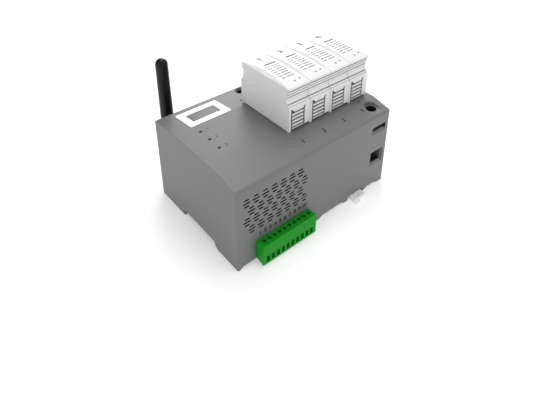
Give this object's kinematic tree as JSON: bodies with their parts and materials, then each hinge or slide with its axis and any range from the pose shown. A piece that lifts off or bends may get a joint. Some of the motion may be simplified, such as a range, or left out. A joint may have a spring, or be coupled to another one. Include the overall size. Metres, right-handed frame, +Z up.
{
  "type": "surge protective device",
  "caption": "Grey rail-mounted box with plug-in white surge cartridges, sloped display, vents, green plug terminal, sprung rail clip and hinged antenna; protects and monitors supply lines.",
  "frame": {"origin": "middle of the flat rail seat on the underside, midway between the end walls and between the two edges of the rail", "axes": "+X along the rail towards the cartridges' end, +Y from the plug's wall to the antenna's wall, +Z up from the rail through the cartridges"},
  "size_m": [0.1316, 0.1187, 0.0976],
  "materials": {
    "housing_grey": "fine matt grey moulding",
    "base_grey": "matt dark grey moulding",
    "clip_white": "milky natural plastic",
    "frame_white": "satin white moulding",
    "window_clear": "clear window",
    "panel_dark": "display panel",
    "light_pipe": "clear milky rods",
    "board_green": "solder resist",
    "plug_green": "satin green moulding",
    "screw_steel": "zinc plated",
    "spring_steel": "spring wire",
    "pin_brass": "plated brass",
    "strip_copper": "bare copper strip",
    "socket_dark": "matt dark moulding",
    "cartridge_white": "satin white moulding",
    "varistor_blue": "dipped coating",
    "antenna_black": "satin black moulding"
  },
  "bodies": {
    "base": {"housing": "housing_grey", "base_plate": "base_grey", "base_screws": "screw_steel", "clip_spring": "spring_steel", "display_bezel": "frame_white", "display_window": "window_clear", "display_panel": "panel_dark", "light_pipes": "light_pipe", "display_board": "board_green", "board_screws": "screw_steel", "terminal_board": "board_green", "plug_socket": "plug_green", "socket_pins": "pin_brass", "cartridge_socket": "socket_dark", "socket_screws": "screw_steel", "contact_clips": "strip_copper", "line_links": "strip_copper", "earth_link": "strip_copper", "line_cages": "screw_steel", "earth_cage": "screw_steel", "line_screws": "screw_steel", "earth_screw": "screw_steel", "antenna_connector": "pin_brass", "antenna_nut": "pin_brass", "antenna_collar": "antenna_black"},
    "clip": {"din_clip": "clip_white"},
    "plug": {"terminal_plug": "plug_green", "plug_clamps": "screw_steel", "plug_screws": "screw_steel"},
    "elbow": {"antenna_elbow": "antenna_black", "antenna_pin": "screw_steel"},
    "whip": {"antenna_whip": "antenna_black"},
    "plug_in_1": {"cartridge_1": "cartridge_white", "cartridge_base_1": "cartridge_white", "cartridge_blades_1": "pin_brass", "varistor_1": "varistor_blue"},
    "plug_in_2": {"cartridge_2": "cartridge_white", "cartridge_base_2": "cartridge_white", "cartridge_blades_2": "pin_brass", "varistor_2": "varistor_blue"},
    "plug_in_3": {"cartridge_3": "cartridge_white", "cartridge_base_3": "cartridge_white", "cartridge_blades_3": "pin_brass", "varistor_3": "varistor_blue"},
    "plug_in_4": {"cartridge_4": "cartridge_white", "cartridge_base_4": "cartridge_white", "cartridge_blades_4": "pin_brass", "varistor_4": "varistor_blue"}
  },
  "joints": [
    {"name": "clip_slide", "type": "slide", "parent": "base", "child": "clip", "axis": [0, -1, 0], "range_m": [0, 0.004], "stiffness_N_per_m": 1500, "springref_m": -0.003, "deforming": ["clip_spring"]},
    {"name": "plug_slide", "type": "slide", "parent": "base", "child": "plug", "axis": [0, -1, 0], "range_m": [0, 0.009]},
    {"name": "cartridge_slide_1", "type": "slide", "parent": "base", "child": "plug_in_1", "axis": [0, 0, 1], "range_m": [0, 0.02]},
    {"name": "cartridge_slide_2", "type": "slide", "parent": "base", "child": "plug_in_2", "axis": [0, 0, 1], "range_m": [0, 0.02]},
    {"name": "cartridge_slide_3", "type": "slide", "parent": "base", "child": "plug_in_3", "axis": [0, 0, 1], "range_m": [0, 0.02]},
    {"name": "cartridge_slide_4", "type": "slide", "parent": "base", "child": "plug_in_4", "axis": [0, 0, 1], "range_m": [0, 0.02]},
    {"name": "antenna_swivel", "type": "hinge", "parent": "base", "child": "elbow", "pos_m": [-0.04775, 0.05425, 0.0373], "axis": [0, 1, 0], "range_deg": [-90, 90]},
    {"name": "antenna_tilt", "type": "hinge", "parent": "elbow", "child": "whip", "pos_m": [-0.04775, 0.06425, 0.0373], "axis": [-1, 0, 0], "range_deg": [0, 90]}
  ]
}
